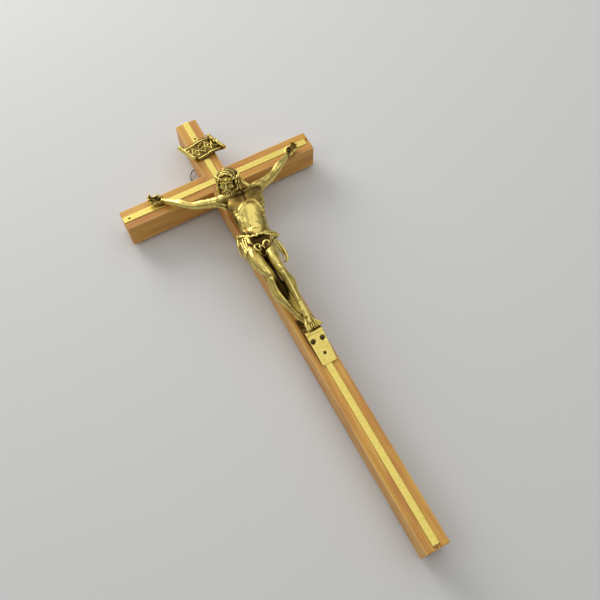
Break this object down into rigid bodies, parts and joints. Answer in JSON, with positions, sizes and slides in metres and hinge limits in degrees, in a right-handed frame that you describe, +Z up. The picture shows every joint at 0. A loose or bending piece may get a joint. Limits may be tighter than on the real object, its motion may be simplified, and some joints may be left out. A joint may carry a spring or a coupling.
{
  "type": "crucifix",
  "caption": "Wall crucifix: lapped wooden beams with brass strips let in, a cast brass figure nailed on, a rolled scroll, a foot rest, and a wire ring at the back to hang it by.",
  "frame": {"origin": "middle of the crossing on the back face, where the crossbar lies against the wall", "axes": "+Z up along the upright, +X along the crossbar to the viewer's right, +Y out of the back, so the figure looks along -Y"},
  "size_m": [0.15, 0.0502, 0.35],
  "materials": {
    "beam_wood": "oiled hardwood with straight grain and worn pale edges",
    "strip_brass": "rolled brass, lightly tarnished",
    "cast_brass": "cast brass, polished high points and dark recesses",
    "dark_nail": "browned iron",
    "hanger_wire": "drawn wire, dulled"
  },
  "bodies": {
    "cross": {"upright": "beam_wood", "crossbar": "beam_wood", "upright_inlay": "strip_brass", "crossbar_inlay_left": "strip_brass", "crossbar_inlay_right": "strip_brass", "crossbar_inlay_pin": "dark_nail", "upright_inlay_pin": "dark_nail", "titulus": "cast_brass", "titulus_nail": "dark_nail", "corpus_body": "cast_brass", "corpus_arm_left": "cast_brass", "corpus_arm_right": "cast_brass", "hand_nail_left": "dark_nail", "hand_nail_right": "dark_nail", "foot_nail": "cast_brass", "foot_rest": "cast_brass", "foot_rest_stud_left": "cast_brass", "foot_rest_stud_right": "cast_brass", "foot_rest_nail": "dark_nail", "hanger_staple": "hanger_wire"},
    "ring": {"hanging_ring": "hanger_wire"}
  },
  "joints": [
    {"name": "ring_swing", "type": "hinge", "parent": "cross", "child": "ring", "pos_m": [0, 0.001, 0.0255], "axis": [0, 0, -1], "range_deg": [0, 180]}
  ]
}
